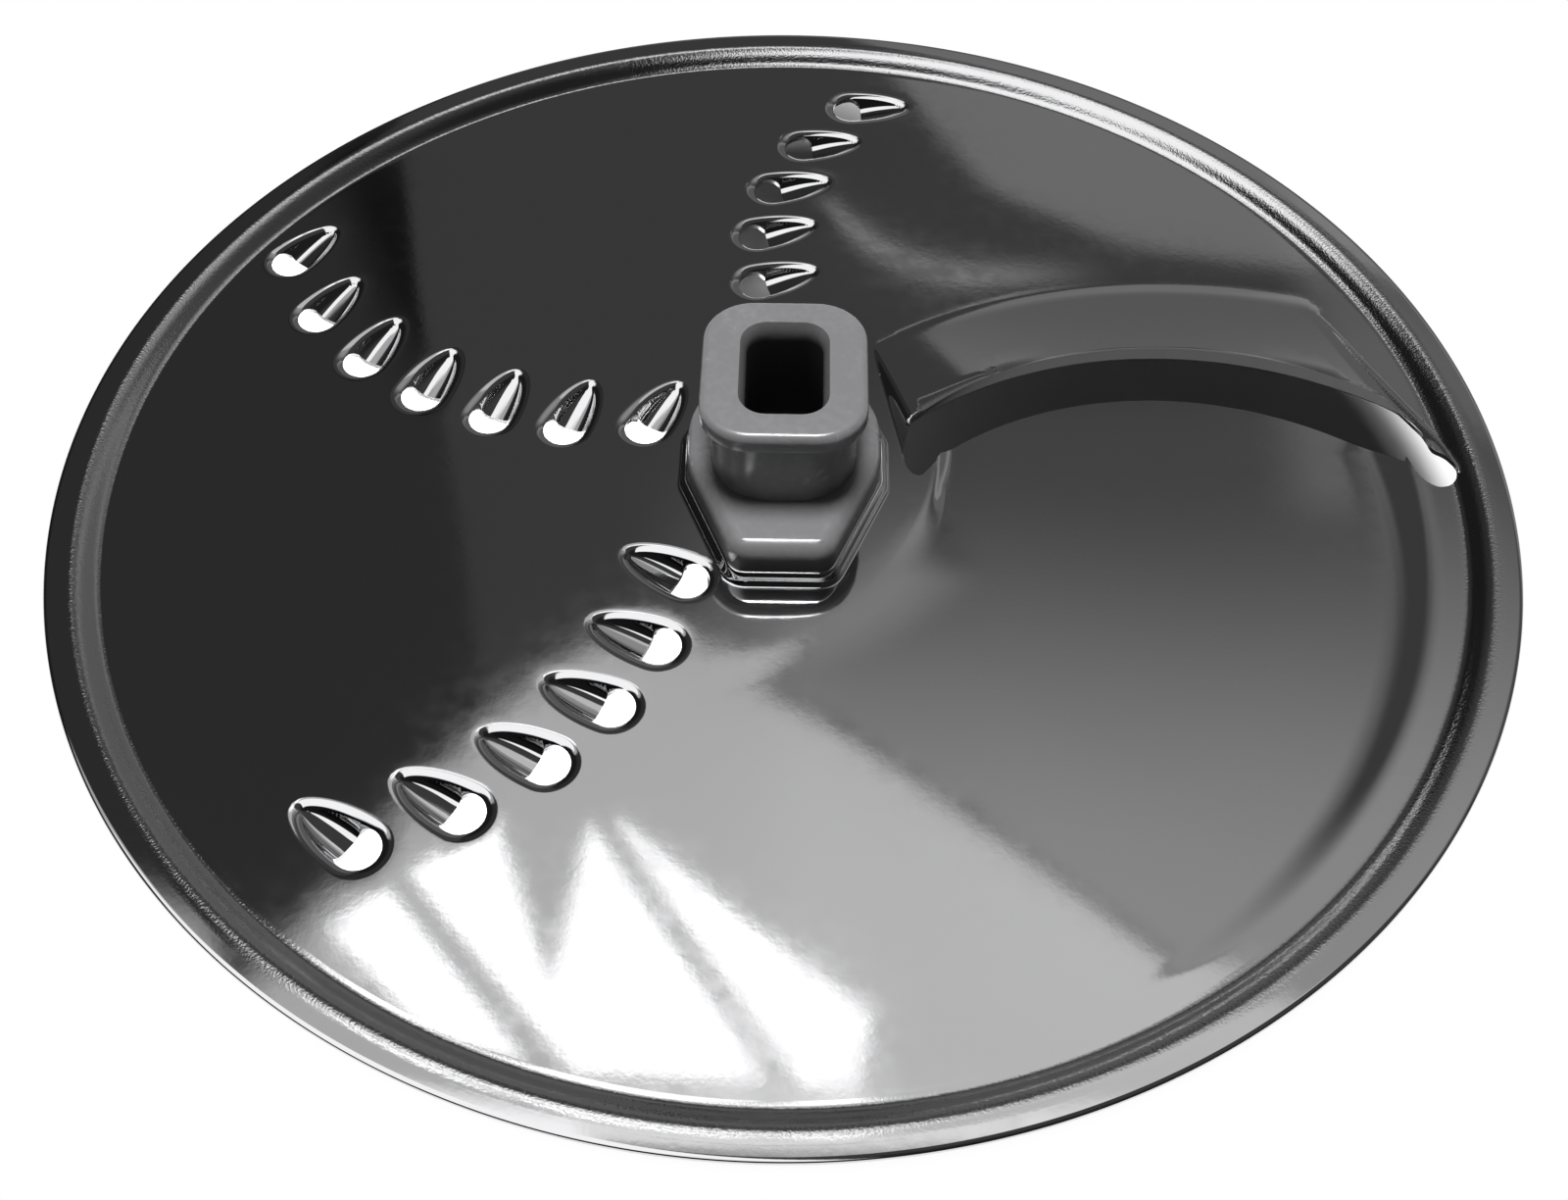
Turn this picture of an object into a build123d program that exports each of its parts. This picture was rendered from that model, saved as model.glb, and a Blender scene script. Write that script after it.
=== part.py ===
from build123d import *
from math import acos, atan, cos, degrees, pi, radians, sin, tan
import os

os.makedirs("parts", exist_ok=True)

# Sizes in mm, +Z up. The disc lies flat and stands on the lower collar of its hub.
RIM_D = 174.0
SHEET = 0.6

# Stiffening step of the rim: a flat flange above the main plane
FLANGE_W = 3.7
STEP_RUN = 1.8
STEP_RISE = 1.8
STEP_BEND = 0.4

# Hub, the same above and below the sheet
HUB_H = 34.0
BLOCK_X = 23.3
BLOCK_Y = 36.0
BLOCK_SIDE_Y = 7.4
BLOCK_END_X = 11.2
BLOCK_R = 2.0
BLOCK_EDGE = 0.7
BLOCK_RISE = 5.6
NECK_X = 17.2
NECK_Y = 21.4
NECK_R = 7.2
COLLAR_X = 19.3
COLLAR_Y = 22.6
COLLAR_R = 6.0
COLLAR_H = 2.4
COLLAR_EDGE = 0.6
BORE_X = 9.0
BORE_Y = 13.5
BORE_R = 2.4
LEAD_IN = 0.9
LEAD_DEPTH = 1.6

# Seat pressed up in the sheet under the hub, and the openings the moulding locks into
SEAT_RISE = 1.6
SEAT_LIP = 0.2
SEAT_SLOPE = 37
CORE_WALL = 2.1
CORE_R = 3.4
LOCK_SIDE = 2.4

# Grating teeth: three curved rows, pressed away from the slicing side
TOOTH_PITCH = 9.66
TOOTH_HUB_R = 18.0
ROW_ARC_R = 45.95
ROW_ARC_OFFSET = 57.06
ROW_A_RIM_GAP = 5.1
ROW_A_TURN = 115.0
ROW_A_AIM = -98
ROW_B_RIM_GAP = 12.3
ROW_B_TURN = 190.0
ROW_B_AIM = -85
ROW_C_RIM_GAP = 9.5
ROW_C_TURN = 43.5
ROW_C_AIM = -80
TOOTH_HOLE_R = 2.6
TOOTH_LIP_X = 1.6
TOOTH_LENGTH = 6.2
TOOTH_DEPTH = 2.05
TOOTH_TAIL_R = 0.35
TOOTH_SIDES = 12

# Slicing blade. Its lines run through three stations: the slot's inner end, its middle and its outer end.
# The cutting edge is given by its Y at the stations, and the other lines by their distance from the edge.
SLOT_IN_X = 15.6
SLOT_RIM_GAP = 4.9
SLOT_IN_ROUND = 4.4
EDGE_Y = (6.63, 18.52, 9.38)
RAMP_RUN = (17.54, 14.32, 18.63)
BEVEL_RUN = (0.16, 1.99, 1.42)
SLOT_WIDTH = (7.61, 5.02, 7.15)
EDGE_RISE = 1.5
EDGE_LAND = 0.1
BEVEL_DROP = 0.21
RAMP_LEFT = ((11.1, 20.3), (14.5, 3.0))
RAMP_LEFT_RUN = 1.2
RAMP_PAST_BACK = 16.0
RAMP_PAST_FRONT = 6.0
RAMP_RIM_GAPS = (9.0, 2.4)
RAMP_RIM_Y = (25.0, 12.5)
RAMP_RIGHT_RUN = 2.2
POCKET_GAP = 2.3
POCKET_POINT = (4.9, -31.5)
POCKET_TURN = 50.0
POCKET_FALL = 1.4
POCKET_RIM_GAP = 4.0
POCKET_IN_C = (-19.85, 5.46)
POCKET_IN_R = 39.0

# Levels above the main plane's top surface, and places that follow from the sizes
BASE = HUB_H / 2 + SHEET / 2
MID = -SHEET / 2
HALF_HUB = HUB_H / 2
DEEP = 6.0
WALL_R = RIM_D / 2 - FLANGE_W - STEP_RUN
SLOT_OUT_X = WALL_R - SLOT_RIM_GAP
SLOT_MID_X = (SLOT_IN_X + SLOT_OUT_X) / 2
POCKET_OUT_R = WALL_R - POCKET_RIM_GAP
CORE_X = BORE_X + 2 * CORE_WALL
CORE_Y = BORE_Y + 2 * CORE_WALL
LOCK_X = (CORE_X + BLOCK_X) / 4
LOCK_Y = (CORE_Y + BLOCK_Y) / 4


def blade_line(away):
    """Arc through the blade's three stations, at a distance behind the edge at each."""
    xs = (SLOT_IN_X, SLOT_MID_X, SLOT_OUT_X)
    return Edge.make_three_point_arc(*[(x, y + a) for x, y, a in zip(xs, EDGE_Y, away)])


def oblique(line0, z0, line1, z1, k):
    """Centre, radius and level of the circle at step k of a leaning cone through two arcs."""
    centre = line0.arc_center + (line1.arc_center - line0.arc_center) * k
    return (centre.X, centre.Y), line0.radius + k * (line1.radius - line0.radius), z0 + k * (z1 - z0)


def beyond(line, back, front, side):
    """End points of a line made longer at both ends and moved sideways."""
    (x0, y0), (x1, y1) = line
    run = ((x1 - x0) ** 2 + (y1 - y0) ** 2) ** 0.5
    ux = (x1 - x0) / run
    uy = (y1 - y0) / run
    sx = -uy * side
    sy = ux * side
    return (x0 - ux * back + sx, y0 - uy * back + sy), (x1 + ux * front + sx, y1 + uy * front + sy)


def tooth_spots(turn, rim_gap, aim):
    """Place and direction of each tooth of a row, from the rim inwards."""
    spots = []
    r = WALL_R - rim_gap
    while r > TOOTH_HUB_R:
        c = (r * r + ROW_ARC_OFFSET**2 - ROW_ARC_R**2) / (2 * r * ROW_ARC_OFFSET)
        a = turn + degrees(acos(c))
        spots.append(Location((r * cos(radians(a)), r * sin(radians(a)), 0), (0, 0, a + aim)))
        r -= TOOTH_PITCH
    return spots


def horn(lip, tail, length):
    """Tapered body along +X with flat sides, cut from a block by one leaning plane for each side."""
    lean = atan((lip - tail) / length)
    with BuildPart() as body:
        with Locations((TOOTH_LIP_X + length / 2, 0, 0)):
            Box(length, 3 * lip, 3 * lip)
        for side in range(TOOTH_SIDES):
            a = 2 * pi * side / TOOTH_SIDES
            tilt = (sin(lean), cos(lean) * cos(a), cos(lean) * sin(a))
            split(bisect_by=Plane((TOOTH_LIP_X, lip * cos(a), lip * sin(a)), z_dir=tilt), keep=Keep.BOTTOM)
    return body.part


with BuildSketch() as octagon:
    with BuildLine():
        Polyline(
            (BLOCK_X / 2, -BLOCK_SIDE_Y / 2),
            (BLOCK_X / 2, BLOCK_SIDE_Y / 2),
            (BLOCK_END_X / 2, BLOCK_Y / 2),
            (-BLOCK_END_X / 2, BLOCK_Y / 2),
            (-BLOCK_X / 2, BLOCK_SIDE_Y / 2),
            (-BLOCK_X / 2, -BLOCK_SIDE_Y / 2),
            (-BLOCK_END_X / 2, -BLOCK_Y / 2),
            (BLOCK_END_X / 2, -BLOCK_Y / 2),
            close=True,
        )
    make_face()
    fillet(octagon.vertices(), BLOCK_R)

edge_line = blade_line((0, 0, 0))
back_line = blade_line(RAMP_RUN)
bevel_line = blade_line(BEVEL_RUN)
front_line = blade_line([-w for w in SLOT_WIDTH])

# The ramp: everything under a leaning cone from its back crease to past the cutting edge
with BuildPart() as ramp:
    for step in (-0.2, 1.5):
        centre, radius, level = oblique(back_line, 0, edge_line, EDGE_RISE, step)
        with BuildSketch(Plane.XY.offset(level)):
            with Locations(centre):
                Circle(radius)
    loft(ruled=True)

with BuildPart() as ramp_sides:
    for level in (0.0, 2.0):
        with BuildSketch(Plane.XY.offset(level)):
            l0, l1 = beyond(RAMP_LEFT, RAMP_PAST_BACK, RAMP_PAST_FRONT, level * RAMP_LEFT_RUN)
            right = [(WALL_R - gap, y) for gap, y in zip(RAMP_RIM_GAPS, RAMP_RIM_Y)]
            r0, r1 = beyond(right, RAMP_PAST_BACK, 1.5 * RAMP_PAST_FRONT, -level * RAMP_RIGHT_RUN)
            with BuildLine():
                Polyline(l0, l1, r1, r0, close=True)
            make_face()
    loft(ruled=True)

# The form of the sheet's top side, solid below
with BuildPart() as form:
    with BuildSketch(Plane.XZ):
        with BuildLine():
            Polyline(
                (RIM_D / 2 + 1, STEP_RISE),
                (RIM_D / 2 - FLANGE_W, STEP_RISE),
                (RIM_D / 2 - FLANGE_W - STEP_RUN, 0),
                (0, 0),
                (0, -DEEP),
                (RIM_D / 2 + 1, -DEEP),
                close=True,
            )
        make_face()
        bends = [v for v in vertices() if 60 < v.X < RIM_D / 2 - 1 and v.Z > -1]
        chamfer(bends, STEP_BEND)
    revolve(axis=Axis.Z)
    with BuildSketch():
        add(octagon.sketch)
        offset(amount=SEAT_LIP + SEAT_RISE * tan(radians(SEAT_SLOPE)))
    extrude(amount=SEAT_RISE, taper=SEAT_SLOPE)

with BuildPart() as blade_ramp:
    add(ramp.part)
    add(ramp_sides.part, mode=Mode.INTERSECT)
    with Locations(front_line.arc_center):
        Cylinder(front_line.radius + POCKET_GAP + 1.5 * SHEET, 2 * DEEP, mode=Mode.SUBTRACT)

# Ground bevel: the cut leaves a thin land along the edge, at the sheet's underside
edge_z = EDGE_RISE - SHEET + EDGE_LAND
with BuildPart() as bevel:
    for step in (-0.3, 2.6):
        centre, radius, level = oblique(edge_line, edge_z, bevel_line, EDGE_RISE - BEVEL_DROP, step)
        with BuildSketch(Plane.XY.offset(level)):
            with Locations(centre):
                Circle(radius)
    loft(ruled=True)
    with Locations(((SLOT_IN_X + WALL_R) / 2 - 1, 0, 0)):
        Box(WALL_R - SLOT_IN_X, RIM_D, 2 * DEEP, mode=Mode.INTERSECT)

# Pocket in front of the blade: a tilted floor with sloping walls at the rim and at the hub
pocket_floor = Plane(
    origin=(POCKET_POINT[0], POCKET_POINT[1], 0),
    x_dir=(sin(radians(POCKET_TURN)), -cos(radians(POCKET_TURN)), 0),
    z_dir=(
        sin(radians(POCKET_FALL)) * cos(radians(POCKET_TURN)),
        sin(radians(POCKET_FALL)) * sin(radians(POCKET_TURN)),
        cos(radians(POCKET_FALL)),
    ),
)
with BuildPart() as pocket:
    with Locations((0, 0, -DEEP / 2)):
        Cone(POCKET_OUT_R - DEEP, POCKET_OUT_R, DEEP)
    with Locations(front_line.arc_center):
        Cylinder(front_line.radius + POCKET_GAP, 3 * DEEP, mode=Mode.INTERSECT)
    with Locations((POCKET_IN_C[0], POCKET_IN_C[1], -DEEP / 2)):
        Cone(POCKET_IN_R + DEEP, POCKET_IN_R, DEEP, mode=Mode.SUBTRACT)
    with BuildSketch(pocket_floor):
        Rectangle(2 * RIM_D, 2 * RIM_D)
    extrude(amount=DEEP, mode=Mode.INTERSECT)

# Slot: the blade's edge, the pocket's front edge, a rounded inner end and a nose at the rim
with BuildPart() as slot:
    with BuildSketch(Plane.XY.offset(-DEEP)):
        with BuildLine():
            add(edge_line)
            front = front_line.trim(SLOT_IN_ROUND / front_line.length, 1)
            add(front)
            nose = [(2.4, 5.5), (2.6, 3.6), (4.6, 2.0), (5.6, 0.0), (4.3, -1.5), (2.7, -1.9), (1.0, -0.2)]
            rim_side = [(SLOT_OUT_X + x, y) for x, y in nose]
            Polyline(edge_line @ 1, rim_side[0], rim_side[1], rim_side[2])
            ThreePointArc(rim_side[2], rim_side[3], rim_side[4])
            ThreePointArc(rim_side[4], rim_side[5], rim_side[6])
            Line(rim_side[6], front @ 1)
            hub_side = (SLOT_IN_X - 0.6, 0.8)
            ThreePointArc(front @ 0, (SLOT_IN_X + 1.1, -1.2), hub_side)
            Line(hub_side, edge_line @ 0)
        make_face()
    extrude(amount=3 * DEEP)

# One tooth, tail along +X: the metal that is added below and the metal that is cut
with BuildPart() as tooth_skin:
    add(horn(TOOTH_DEPTH + SHEET, TOOTH_TAIL_R + SHEET, TOOTH_LENGTH))
    with Locations((TOOTH_LIP_X + TOOTH_LENGTH, 0, -DEEP - SHEET / 2)):
        Box(4 * TOOTH_LENGTH, 2 * TOOTH_LENGTH, 2 * DEEP, mode=Mode.INTERSECT)

with BuildPart() as tooth_cut:
    add(horn(TOOTH_DEPTH, TOOTH_TAIL_R, TOOTH_LENGTH - SHEET))
    with BuildSketch(Plane.XY.offset(-DEEP)):
        Circle(TOOTH_HOLE_R)
        with Locations((TOOTH_LIP_X + TOOTH_HOLE_R, 0)):
            Rectangle(2 * TOOTH_HOLE_R, 3 * TOOTH_HOLE_R, mode=Mode.SUBTRACT)
    extrude(amount=2 * DEEP)

spots = tooth_spots(ROW_A_TURN, ROW_A_RIM_GAP, ROW_A_AIM)
spots += tooth_spots(ROW_B_TURN, ROW_B_RIM_GAP, ROW_B_AIM)
spots += tooth_spots(ROW_C_TURN, ROW_C_RIM_GAP, ROW_C_AIM)

# The sheet: the form, less the same form one thickness lower
with BuildPart() as disc:
    add(form.part)
    add(blade_ramp.part)
    add(pocket.part, mode=Mode.SUBTRACT)
    lower = disc.part.moved(Location((0, 0, -SHEET)))
    add(lower, mode=Mode.SUBTRACT)
    Cylinder(RIM_D / 2, 2 * DEEP, mode=Mode.INTERSECT)
    add(bevel.part, mode=Mode.SUBTRACT)
    add(slot.part, mode=Mode.SUBTRACT)
    with Locations(*spots):
        add(tooth_skin.part)
    with Locations(*spots):
        add(tooth_cut.part, mode=Mode.SUBTRACT)
    with BuildSketch(Plane.XY.offset(-DEEP)):
        RectangleRounded(CORE_X, CORE_Y, CORE_R)
        with Locations((LOCK_X, 0), (-LOCK_X, 0), (0, LOCK_Y), (0, -LOCK_Y)):
            Rectangle(LOCK_SIDE, LOCK_SIDE)
    extrude(amount=2 * DEEP, mode=Mode.SUBTRACT)

# Upper half of the hub, then its mirror image, then the material in the sheet's openings
with BuildPart() as hub:
    with BuildSketch(Plane.XY.offset(SEAT_RISE)):
        add(octagon.sketch)
    extrude(amount=BLOCK_RISE - SEAT_RISE)
    chamfer(hub.faces().sort_by(Axis.Z)[-1].edges(), BLOCK_EDGE)
    with BuildSketch(Plane.XY.offset(BLOCK_RISE)):
        RectangleRounded(NECK_X, NECK_Y, NECK_R)
    extrude(amount=MID + HALF_HUB - BLOCK_RISE)
    with BuildSketch(Plane.XY.offset(MID + HALF_HUB - COLLAR_H)):
        RectangleRounded(COLLAR_X, COLLAR_Y, COLLAR_R)
    extrude(amount=COLLAR_H)
    chamfer(hub.faces().sort_by(Axis.Z)[-1].edges(), COLLAR_EDGE)
    mirror(about=Plane.XY.offset(MID))
    with BuildSketch(Plane.XY.offset(-SHEET - SEAT_RISE)):
        add(octagon.sketch)
    extrude(amount=2 * SEAT_RISE)
    with BuildSketch(Plane.XY.offset(SEAT_RISE - SHEET)):
        RectangleRounded(CORE_X, CORE_Y, CORE_R)
        with Locations((LOCK_X, 0), (-LOCK_X, 0), (0, LOCK_Y), (0, -LOCK_Y)):
            Rectangle(LOCK_SIDE, LOCK_SIDE)
    extrude(amount=SHEET)
    with BuildSketch(Plane.XY.offset(MID - HALF_HUB)):
        RectangleRounded(BORE_X, BORE_Y, BORE_R)
    extrude(amount=HUB_H, mode=Mode.SUBTRACT)
    for side in (1, -1):
        with BuildSketch(Plane.XY.offset(MID + side * HALF_HUB)):
            RectangleRounded(BORE_X + 2 * LEAD_IN, BORE_Y + 2 * LEAD_IN, BORE_R + LEAD_IN)
        with BuildSketch(Plane.XY.offset(MID + side * (HALF_HUB - LEAD_DEPTH))):
            RectangleRounded(BORE_X, BORE_Y, BORE_R)
        loft(ruled=True, mode=Mode.SUBTRACT)

disc.part.label = "disc"
hub.part.label = "hub"
disc.part.locate(Location((0, 0, BASE)))
hub.part.locate(Location((0, 0, BASE)))
export_step(disc.part, "parts/disc.step")
export_step(hub.part, "parts/hub.step")
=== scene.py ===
"""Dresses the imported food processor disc: mirror steel, the grey moulded hub, the stage and the camera."""

import math

import bmesh
import bpy
import numpy as np
from mathutils import Matrix, Vector, kdtree
from mathutils.geometry import delaunay_2d_cdt


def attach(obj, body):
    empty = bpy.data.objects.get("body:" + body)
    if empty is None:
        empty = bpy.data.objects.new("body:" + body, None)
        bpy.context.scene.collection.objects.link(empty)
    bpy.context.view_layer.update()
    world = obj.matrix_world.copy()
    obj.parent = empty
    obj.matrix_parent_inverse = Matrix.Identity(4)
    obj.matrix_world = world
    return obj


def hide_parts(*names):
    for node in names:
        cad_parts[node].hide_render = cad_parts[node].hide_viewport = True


bl_info = {
    "name": "Food processor disc",
    "version": (1, 0, 0),
    "blender": (4, 5, 0),
    "location": "View3D > Sidebar > Disc",
    "description": "Presses the steel disc, moulds its hub and sets the studio round it",
    "category": "Object",
}

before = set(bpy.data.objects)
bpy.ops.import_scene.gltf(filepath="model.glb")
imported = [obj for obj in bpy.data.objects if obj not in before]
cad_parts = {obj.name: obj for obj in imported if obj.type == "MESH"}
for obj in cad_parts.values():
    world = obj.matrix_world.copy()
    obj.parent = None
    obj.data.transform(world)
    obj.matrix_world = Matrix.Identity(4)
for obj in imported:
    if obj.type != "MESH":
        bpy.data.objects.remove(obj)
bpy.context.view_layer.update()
MM = 0.001

# Sizes in millimetres that shape the sheet, as in the solids. Heights are above the main plane's top.
BASE_Z = 17.3
MID_Z = 17.0
RIM_R = 86.97
WALL_R = 81.5
STEP_RISE = 1.8
SHEET = 0.6
SEAT_RISE = 1.6
SEAT_FOOT = 0.95
SEAT_RUN = 0.75
SEAT_BENDS = (0.35, 0.4)
RIM_BENDS = (0.55, 1.0)
EDGE_TRIM = 0.12
TRIM_RUN = 0.2
BLOCK = (11.65, 3.7, 5.6, 18.0)
BLOCK_R = 2.0
TOOTH_PITCH = 9.66
ROW_ARC_R = 45.95
ROW_ARC_OFFSET = 57.06
ROWS = ((115.0, 76.4, 7, -98), (190.0, 69.2, 6, -85), (43.5, 72.0, 6, -80))
HOLE_R = 2.6
LIP_X = 1.6
TOOTH_TAIL_X = 7.9
TOOTH_DEPTH = 2.0
DRAW_RUN = 1.15
DRAW_DROP = 0.4
RAMP_BACK = (50.243, -39.715, 72.674)
EDGE = (47.861, -31.062, 49.613)
EDGE_RISE = 1.5
EDGE_LAND = 0.1
BEVEL = (48.336, -25.222, 45.787)
BEVEL_Z = 1.29
RAMP_LEFT = ((11.1, 20.3), (14.5, 3.0), 1.2)
RAMP_RIGHT = ((71.4, 25.6), (78.3, 11.8), 2.0)
SLOT_FRONT = (47.668, -29.164, 42.693)
SLOT_INNER = ((15.6, 6.8), (14.75, 3.2), (15.0, 0.1), (16.6, -1.25), (18.8, 1.4))
SLOT_OUTER = (
    (76.6, 3.3),
    (77.6, -0.2),
    (79.2, -1.8),
    (81.0, -1.5),
    (82.0, 0.2),
    (81.2, 2.0),
    (79.4, 3.5),
    (78.6, 6.2),
)
POCKET_POINT = (4.9, -31.5)
POCKET_TURN = math.radians(50.0)
POCKET_FALL = math.tan(math.radians(1.4))
POCKET_OUT_R = 77.5
POCKET_OUT_SLOPE = 0.32
POCKET_IN = (-19.85, 5.46, 39.0)
POCKET_BENDS = (0.3, 0.6, 0.35)
POCKET_FRONT_Y = -6
POCKET_FRONT_RUN = 2.4

# The hub's sizes, as (x, y) of each block and heights above the middle of the sheet.
BLOCK_FOOT = -1.3
BLOCK_TOP = 5.9
BLOCK_EDGE = 0.6
NECK = (17.2, 21.4)
NECK_R = 7.2
NECK_Z = (-0.9, 15.0)
COLLAR = (19.3, 22.6)
COLLAR_R = 6.0
COLLAR_Z = (14.6, 17.0)
COLLAR_EDGES = (0.3, 1.0)
SOCKET = (9.0, 13.5)
SOCKET_R = 2.4
SOCKET_Z = (-2.0, 18.0)
MOUTH = (10.8, 15.3)
MOUTH_R = 3.3
MOUTH_Z = (15.4, 17.4)
SMOOTH_ANGLE = math.radians(32)
WELD = 1e-6

# Radii of the mesh's rings at the rim, and distances of its rings from the hub's block.
RIM_RINGS = (86.93, 86.8, 86.4, 85.4, 84.5, 84.0, 83.75, 83.6, 83.5, 83.4, 83.3, 83.2, 83.1, 82.95)
RIM_RINGS += (82.7, 82.4, 82.1, 81.9, 81.75, 81.65, 81.55, 81.48, 81.4, 81.3, 81.15, 80.9, 80.4, 79.6)
SEAT_RINGS = (2.3, 1.95, 1.75, 1.6, 1.5, 1.4, 1.3, 1.2, 1.0, 0.8, 0.6, 0.45, 0.32, 0.22, 0.12)
SEAT_RINGS += (0, -0.15, -0.4, -1)


class DiscFinish(bpy.types.PropertyGroup):
    """Colours and gloss of the two finishes."""

    steel: bpy.props.FloatVectorProperty(
        name="Steel",
        description="Colour of the polished sheet",
        subtype="COLOR",
        size=4,
        default=(0.74, 0.74, 0.75, 1.0),
    )
    steel_roughness: bpy.props.FloatProperty(
        name="Steel roughness", description="Blur of the mirror finish", default=0.045, subtype="FACTOR"
    )
    plastic: bpy.props.FloatVectorProperty(
        name="Plastic",
        description="Colour of the hub's moulding",
        subtype="COLOR",
        size=4,
        default=(0.2, 0.2, 0.205, 1.0),
    )
    waviness: bpy.props.FloatProperty(
        name="Waviness",
        description="Height of the sheet's slow waves from pressing",
        default=0.00003,
        unit="LENGTH",
    )


class DiscStage(bpy.types.PropertyGroup):
    """Studio round the disc."""

    floor: bpy.props.FloatVectorProperty(
        name="Floor",
        description="Colour of the floor",
        subtype="COLOR",
        size=4,
        default=(0.95, 0.95, 0.95, 1.0),
    )
    lens: bpy.props.FloatProperty(name="Lens", description="Focal length in millimetres", default=39.89)
    key_power: bpy.props.FloatProperty(
        name="Ceiling light", description="Strength of the lights above", default=3.9
    )
    floor_power: bpy.props.FloatProperty(
        name="Floor light",
        description="Power of each lamp that lights the floor under the teeth",
        default=0.025,
    )


def soft_min(a, b, w):
    """Smaller of two heights, with a bend of width w where they meet."""
    t = np.clip(0.5 + 0.5 * (b - a) / w, 0, 1)
    return b * (1 - t) + a * t - w * t * (1 - t)


def soft_max(a, b, w):
    """Larger of two heights, with a bend of width w where they meet."""
    return -soft_min(-a, -b, w)


def circle_gap(x, y, circle):
    """Distance outside a circle."""
    return np.hypot(x - circle[0], y - circle[1]) - circle[2]


def line_gap(x, y, a, b):
    """Distance to the left of the line from a to b."""
    ux, uy = b[0] - a[0], b[1] - a[1]
    run = math.hypot(ux, uy)
    return ((y - a[1]) * ux - (x - a[0]) * uy) / run


def block_corners(inset=0.0):
    """Corners of the hub block's octagon, moved inwards by inset, counter-clockwise."""
    hx, sy, ex, hy = BLOCK
    c = [(hx, -sy), (hx, sy), (ex, hy), (-ex, hy), (-hx, sy), (-hx, -sy), (-ex, -hy), (ex, -hy)]
    out = []
    for i in range(8):
        a, b, d = Vector(c[i - 1]), Vector(c[i]), Vector(c[(i + 1) % 8])
        u, v = (b - a).normalized(), (d - b).normalized()
        n, m = Vector((-u.y, u.x)), Vector((-v.y, v.x))
        out.append(tuple(b + (n + m) * (inset / (1 + n.dot(m)))))
    return out


def block_gap(x, y):
    """Distance outside the hub block's rounded octagon."""
    c = block_corners(BLOCK_R)
    inside = np.full(np.shape(x), -1e9)
    near = np.full(np.shape(x), 1e9)
    for i in range(8):
        (ax, ay), (bx, by) = c[i], c[(i + 1) % 8]
        ux, uy = bx - ax, by - ay
        run = math.hypot(ux, uy)
        t = np.clip(((x - ax) * ux + (y - ay) * uy) / run**2, 0, 1)
        near = np.minimum(near, np.hypot(x - ax - t * ux, y - ay - t * uy))
        inside = np.maximum(inside, ((x - ax) * uy - (y - ay) * ux) / run)
    return np.where(inside > 0, near, inside) - BLOCK_R


def cone_step(x, y, c0, c1):
    """Step k at which the circle that moves from c0 (k = 0) to c1 (k = 1) passes through a point."""
    dx, dy, dr = c1[0] - c0[0], c1[1] - c0[1], c1[2] - c0[2]
    qx, qy = x - c0[0], y - c0[1]
    a = dx * dx + dy * dy - dr * dr
    b = qx * dx + qy * dy + c0[2] * dr
    c = qx * qx + qy * qy - c0[2] ** 2
    root = np.sqrt(np.maximum(b * b - a * c, 0))
    return c / np.where(b < 0, b - root, b + root)


def tooth_places():
    """Centre and direction of every tooth's opening."""
    out = []
    for turn, first, count, aim in ROWS:
        for i in range(count):
            r = first - i * TOOTH_PITCH
            c = (r * r + ROW_ARC_OFFSET**2 - ROW_ARC_R**2) / (2 * r * ROW_ARC_OFFSET)
            a = math.radians(turn) + math.acos(c)
            out.append((r * math.cos(a), r * math.sin(a), a + math.radians(aim)))
    return out


def tooth_local(x, y, place):
    """A point in a tooth's own axes: along its tail and across it."""
    cx, cy, a = place
    dx, dy = x - cx, y - cy
    return dx * math.cos(a) + dy * math.sin(a), -dx * math.sin(a) + dy * math.cos(a)


def tooth_half(u):
    """Half width of a tooth's mouth: round in front, drawn out to a blunt tail behind."""
    front = np.sqrt(np.maximum(HOLE_R**2 - np.minimum(u, 0) ** 2, 0))
    back = HOLE_R * (1 - np.clip(u / TOOTH_TAIL_X, 0, 1) ** 1.9) ** 0.66
    return np.where(np.asarray(u) < 0, front, back)


def tooth_mouth():
    """Outline of a tooth's mouth in its own axes, counter-clockwise from its tail."""
    u = TOOTH_TAIL_X * (1 - np.linspace(0, 1, 22) ** 1.7)
    upper = np.stack([u, tooth_half(u)], 1)[:-1]
    a = np.linspace(math.pi / 2, 3 * math.pi / 2, 24)
    front = np.stack([HOLE_R * np.cos(a), HOLE_R * np.sin(a)], 1)
    lower = upper[:0:-1] * (1, -1)
    return np.vstack([upper, front, lower])


def mouth_gap(u, v):
    """Distance outside a tooth's mouth, negative inside."""
    mouth = tooth_mouth()
    near = np.full(np.shape(u), 1e9)
    for (ax, ay), (bx, by) in zip(mouth, np.roll(mouth, -1, 0)):
        ux, uy = bx - ax, by - ay
        t = np.clip(((u - ax) * ux + (v - ay) * uy) / (ux * ux + uy * uy), 0, 1)
        near = np.minimum(near, np.hypot(u - ax - t * ux, v - ay - t * uy))
    return np.where(inside_outline(np.column_stack([u, v]), mouth), -near, near)


def tooth_height(u, v):
    """Height of one tooth: a drawn-in edge all round, and behind the lip a hollow with a rounded keel."""
    gap = mouth_gap(u, v)
    edge = -DRAW_DROP * np.clip(1 - np.maximum(gap, 0) / DRAW_RUN, 0, 1) ** 2
    t = np.clip((u - LIP_X) / (TOOTH_TAIL_X - LIP_X), 0, 1)
    keel = (TOOTH_DEPTH - DRAW_DROP) * (1 - t) ** 0.85
    across = np.clip(np.abs(v) / np.maximum(tooth_half(u), 0.05), 0, 1)
    return np.where(gap < 0, -DRAW_DROP - keel * (1 - across**4), edge)


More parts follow.
